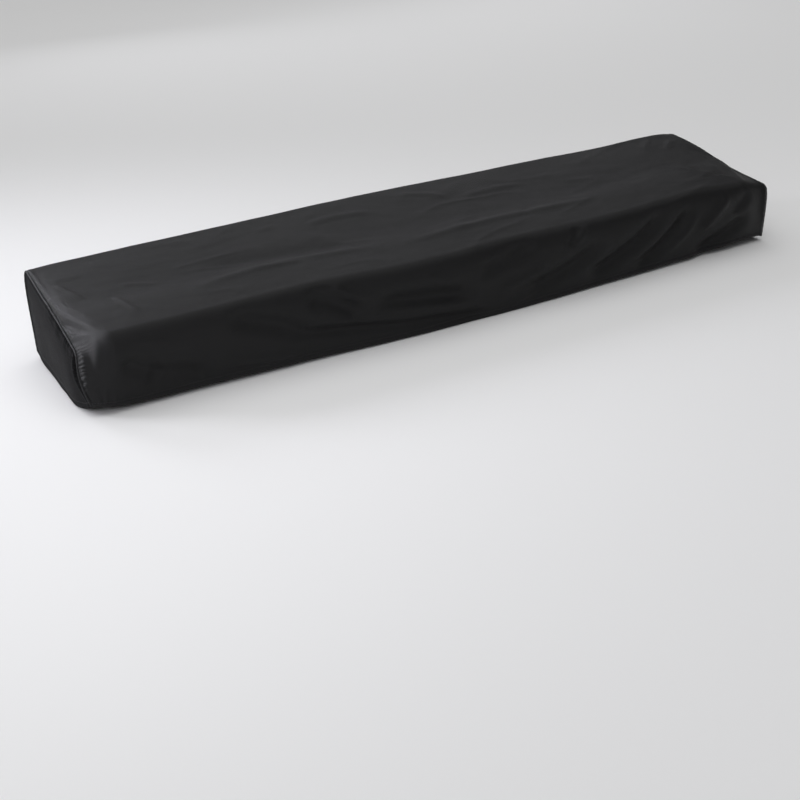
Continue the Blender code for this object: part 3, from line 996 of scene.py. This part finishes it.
# %% Piping
PIPING_STEPS, PIPING_SIDES = 400, 12
FULLNESS, FULLNESS_CHANGE = 0.97, 0.05  # share of the radius, between and at the stitches
STITCH_RATE, DRIFT, DRIFT_RATE = 540, 1.5, 77


def next_ring(bm, ring):
    """Extrudes a ring of points by one step and returns the new one in the same order."""
    edges = dict.fromkeys(edge for vert in ring for edge in vert.link_edges)
    rim = [edge for edge in edges if all(vert in ring for vert in edge.verts)]
    grown = bmesh.ops.extrude_edge_only(bm, edges=rim)["geom"]
    found = [item for item in grown if isinstance(item, bmesh.types.BMVert)]
    return [min(found, key=lambda vert: (vert.co - old.co).length) for old in ring]


def piping_radius(w):
    drift = DRIFT * math.sin(w * DRIFT_RATE)
    return PIPING_RADIUS * (FULLNESS + FULLNESS_CHANGE * math.sin(w * STITCH_RATE + drift))


def close_ends(bm):
    edges = [edge for edge in bm.edges if edge.is_boundary]
    bmesh.ops.holes_fill(bm, edges=edges, sides=PIPING_SIDES)
    bmesh.ops.recalc_face_normals(bm, faces=bm.faces[:])


def make_piping(end):
    along = [WRAP * i / PIPING_STEPS for i in range(PIPING_STEPS + 1)]
    line = [seam_point(end, w, PIPING_INSET) for w in along]
    bm = bmesh.new()
    layer = bm.loops.layers.uv.new("cloth")
    start = bmesh.ops.create_circle(bm, cap_ends=False, segments=PIPING_SIDES, radius=1.0)
    ring = start["verts"]
    circle = [vert.co.copy() for vert in ring]
    side_width = 2 * math.pi * PIPING_RADIUS / PIPING_SIDES
    flat = {}
    for i, (w, centre) in enumerate(zip(along, line)):
        run = (line[min(i + 1, PIPING_STEPS)] - line[max(i - 1, 0)]).normalized()
        third = run.cross(Vector((1, 0, 0))).normalized()
        side = third.cross(run)
        if i:
            ring = next_ring(bm, ring)
        for k, vert in enumerate(ring):
            vert.co = centre + (side * circle[k].x + third * circle[k].y) * piping_radius(w)
            flat[vert] = (w, k * side_width)
    close_ends(bm)
    for face in bm.faces:
        for loop in face.loops:
            loop[layer].uv = flat[loop.vert]
    piece = finished_piece(f"cover_piping_{end.name}", bm, piping_cloth)
    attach(piece, "root")
    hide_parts(f"piping_{end.name}")
    return piece


pipings = {end.name: make_piping(end) for end in (LEFT, RIGHT)}
print("piping:", len(pipings["left"].data.polygons), "faces each")

# %% [markdown]
# ## Hem stitches
# A row of lock stitches holds the hem. Each is a grain of thread pressed into the groove.
# They are small and many, so each is a coarse ball drawn out along the hem. A texture
# could show them too, but then the thread would not catch the light.

# %% Hem stitches
STITCH_PITCH, STITCH_LENGTH, STITCH_THICK = 0.0042, 0.0028, 0.0006
STITCH_LIFT = 0.0001
SAME_ROW = 5  # decimals of a metre that tell two grid rows apart


def hem_line(piece, at):
    """Points and normals of a piece's outer face along the grid row nearest to at."""
    mesh = piece.data
    marks = zip(mesh.loops, mesh.uv_layers["cloth"].data)
    flat = {loop.vertex_index: tuple(mark.uv) for loop, mark in marks}
    rows = {round(v, SAME_ROW) for _, v in flat.values()}
    nearest = min(rows, key=lambda v: abs(v - at))
    chosen = sorted((uv, i) for i, uv in flat.items() if round(uv[1], SAME_ROW) == nearest)
    verts = [mesh.vertices[i] for _, i in chosen]
    return [(vert.co.copy(), vert.normal.copy()) for vert in verts]


def make_grain():
    """One stitch, of length, breadth and height 2."""
    bm = bmesh.new()
    bmesh.ops.create_uvsphere(bm, u_segments=6, v_segments=4, radius=1.0)
    grain = bpy.data.meshes.new("stitch")
    bm.to_mesh(grain)
    bm.free()
    return grain


def stitch_row(bm, grain, line):
    """Sews along a line and returns how many stitches that took."""
    size = Matrix.Diagonal((STITCH_LENGTH / 2, STITCH_THICK / 2, STITCH_THICK / 2, 1.0))
    walked, following, count = 0.0, STITCH_PITCH / 2, 0
    for (start, normal), (stop, _) in zip(line, line[1:]):
        span = (stop - start).length
        run = (stop - start).normalized()
        side = normal.cross(run).normalized()
        turn = Matrix((run, side, normal)).transposed().to_4x4()
        while following <= walked + span:
            place = start.lerp(stop, (following - walked) / span) + normal * STITCH_LIFT
            move = Matrix.Translation(place) @ turn @ size
            grain.transform(move)
            bm.from_mesh(grain)
            grain.transform(move.inverted())
            following += STITCH_PITCH
            count += 1
        walked += span
    return count


def make_stitches():
    bm = bmesh.new()
    grain = make_grain()
    lines = [hem_line(long_panel, at) for at in (HEM_STITCH, WRAP - HEM_STITCH)]
    lines += [hem_line(panel, HEM_STITCH) for panel in end_panels.values()]
    counts = [stitch_row(bm, grain, line) for line in lines]
    print("stitches:", sum(counts))
    bpy.data.meshes.remove(grain)
    piece = finished_piece("cover_hem_stitches", bm, thread)
    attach(piece, "root")
    return piece


stitches = make_stitches()

# %% [markdown]
# ## What the cloth was cut to
# The long panel is cut to its length times its wrap, and that area is printed. The flat area
# of each end panel stands in its row of the ends table.

for end in (LEFT, RIGHT):
    name, area, panel = end.name, end.flat_area, end_panels[end.name]
print("long panel cut to", round(WRAP * LENGTH, 2), "square metres")

# %% [markdown]
# ## Floor
# The cover stands on a plain pale floor, a hair below its lowest point. It throws the light
# back up at the hem, as the pale ground of the photograph does.

# %% Floor
FLOOR_HALF, FLOOR_GAP = 30, 0.001
FLOOR_GREY = 0.85


def make_floor():
    bm = bmesh.new()
    bmesh.ops.create_grid(bm, x_segments=1, y_segments=1, size=FLOOR_HALF)
    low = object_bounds()[0].z - FLOOR_GAP
    for vert in bm.verts:
        vert.co.z = low
    finish = Finish(bpy.data.materials.new("floor_paint"))
    grey = (FLOOR_GREY, FLOOR_GREY, FLOOR_GREY, 1.0)
    finish.fix(Base_Color=grey, Roughness=0.9, Specular_IOR_Level=0.1)
    floor = finished_piece("floor", bm, finish.owner)
    floor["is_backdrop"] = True
    return low


floor_height = make_floor()
print("floor at", round(1000 * floor_height), "mm")

# %% [markdown]
# ## Lamps
# The light of the photograph is soft and even, with a brighter side to the left of and
# behind the cover: the fan at the left end mirrors it. Dark cloth shows its shape mostly by
# its sheen, so large weak lamps stand all round, each weighed until the top, the front, the
# fan and the left end had the tones of the photograph. Sizes are in metres, spread is the
# opening of the beam in degrees, and power is in watts. The lamps near the left end are
# narrowed, so that they light the fan without a bright spot on the floor. Blue is how much
# stronger than red and green it is: the light from behind is a little colder.

# %% Lamps
Lamp = namedtuple("Lamp", "name place aim size spread power blue")
LAMPS = [Lamp(*row) for row in (
    ("behind_left", (-1.1, 2.3, 1.2), (-0.5, 0, 0), 1, 60, 2.1, 1.08),
    ("behind_middle", (0.4, 2.9, 1.2), (0, 0, 0), 2, 180, 3.8, 1.05),
    ("behind_right", (2.2, 2.9, 1.2), (0.2, 0, 0), 2, 180, 4.0, 1.05),
    ("behind_wide", (1.4, 4, 3), (0, 0, 0), 4, 180, 4.1, 1),
    ("left_high", (-2.4, 1.5, 0.7), (-0.6, 0, 0), 1, 60, 4.1, 1.08),
    ("left_front", (-1.9, -1.6, 1.1), (-0.6, 0, 0), 0.9, 60, 1.8, 1.04),
    ("front_low", (0, -3.8, 0.9), (0, 0, 0), 3, 180, 17.5, 1),
)]


def make_lamp(lamp):
    data = bpy.data.lights.new(lamp.name, "AREA")
    data.shape, data.size, data.energy = "DISK", lamp.size, lamp.power
    data.spread = math.radians(lamp.spread)
    data.color = (1.0, 1.0, lamp.blue)
    lit = bpy.data.objects.new(lamp.name, data)
    bpy.context.scene.collection.objects.link(lit)
    lit.location = lamp.place
    lit.rotation_mode = "QUATERNION"
    towards = Vector(lamp.aim) - Vector(lamp.place)
    lit.rotation_quaternion = towards.to_track_quat("-Z", "Y")


for lamp in LAMPS:
    make_lamp(lamp)
print("lamps:", len(LAMPS), "with", round(sum(lamp.power for lamp in LAMPS), 1), "W")

# %% [markdown]
# ## Sky
# White overhead, as under a large white ceiling, and dark below a height of thirty degrees,
# with a soft change between. A narrow pale band at the horizon stands for the far walls.
# Heights are sines of the angle above the horizon. Pictures of a room could light the
# cover too, but two bands can be weighed against the lamps.

# %% Sky
CEILING, CEILING_FROM, CEILING_FULL = 1.20, 0.5, 0.9
WALLS, WALLS_TO, WALLS_END = 0.54, 0.05, 0.15
sky = Finish(bpy.data.worlds.new("white_room"), "Background")
height = sky.node(
    "ShaderNodeSeparateXYZ", {}, sky.node("ShaderNodeTexCoord", {}, out="Generated"), out="Z"
)


def sky_band(low, high, below, above):
    """A brightness that changes softly from below to above between two heights."""
    limits = {"From Min": low, "From Max": high, "To Min": below, "To Max": above}
    soft = {"interpolation_type": "SMOOTHSTEP"}
    return sky.node("ShaderNodeMapRange", soft, Value=height, **limits)


ceiling = sky_band(CEILING_FROM, CEILING_FULL, 0.0, CEILING)
sky.feed("Strength", ceiling + sky_band(WALLS_TO, WALLS_END, WALLS, 0.0))
sky.fix(Color=(1.0, 1.0, 1.0, 1.0))
bpy.context.scene.world = sky.owner
bpy.context.scene.view_settings.view_transform = "Standard"
print("sky: ceiling", CEILING, "walls", WALLS)
